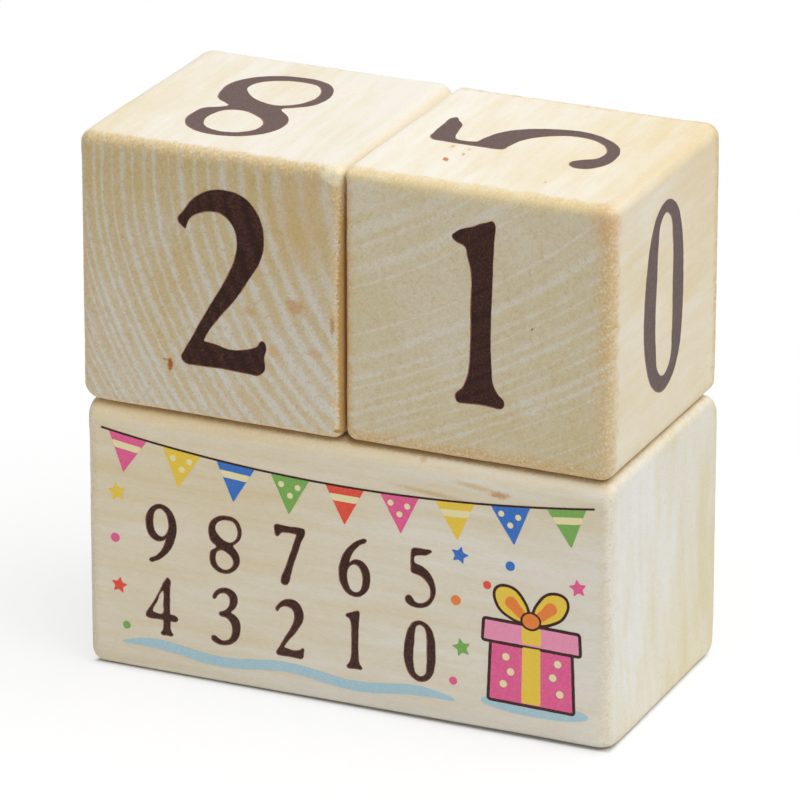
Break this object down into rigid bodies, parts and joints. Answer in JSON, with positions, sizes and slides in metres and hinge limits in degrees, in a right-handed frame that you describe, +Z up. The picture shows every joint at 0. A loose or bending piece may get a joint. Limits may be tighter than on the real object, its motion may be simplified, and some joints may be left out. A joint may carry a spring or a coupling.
{
  "type": "countdown block calendar",
  "caption": "Desk calendar of loose wooden number cubes that stand side by side on a long wooden base block and are lifted off to show another number.",
  "frame": {"origin": "centre of the base block's underside, on the desk", "axes": "+Z up, the printed front looks along -Y, +X to the right along the base block as seen from the front"},
  "size_m": [0.0895, 0.0447, 0.0892],
  "materials": {
    "base_wood": "sanded, thin white wash",
    "cube_wood": "sanded, thin white wash",
    "print_ink": "printed ink on wood"
  },
  "bodies": {
    "base": {"base_block": "base_wood"},
    "tens": {"tens_cube": "cube_wood"},
    "ones": {"ones_cube": "cube_wood"}
  },
  "joints": [
    {"name": "tens_lift", "type": "slide", "parent": "base", "child": "tens", "axis": [0, 0, 1], "range_m": [0, 0.06]},
    {"name": "ones_lift", "type": "slide", "parent": "base", "child": "ones", "axis": [0, 0, 1], "range_m": [0, 0.06]}
  ]
}
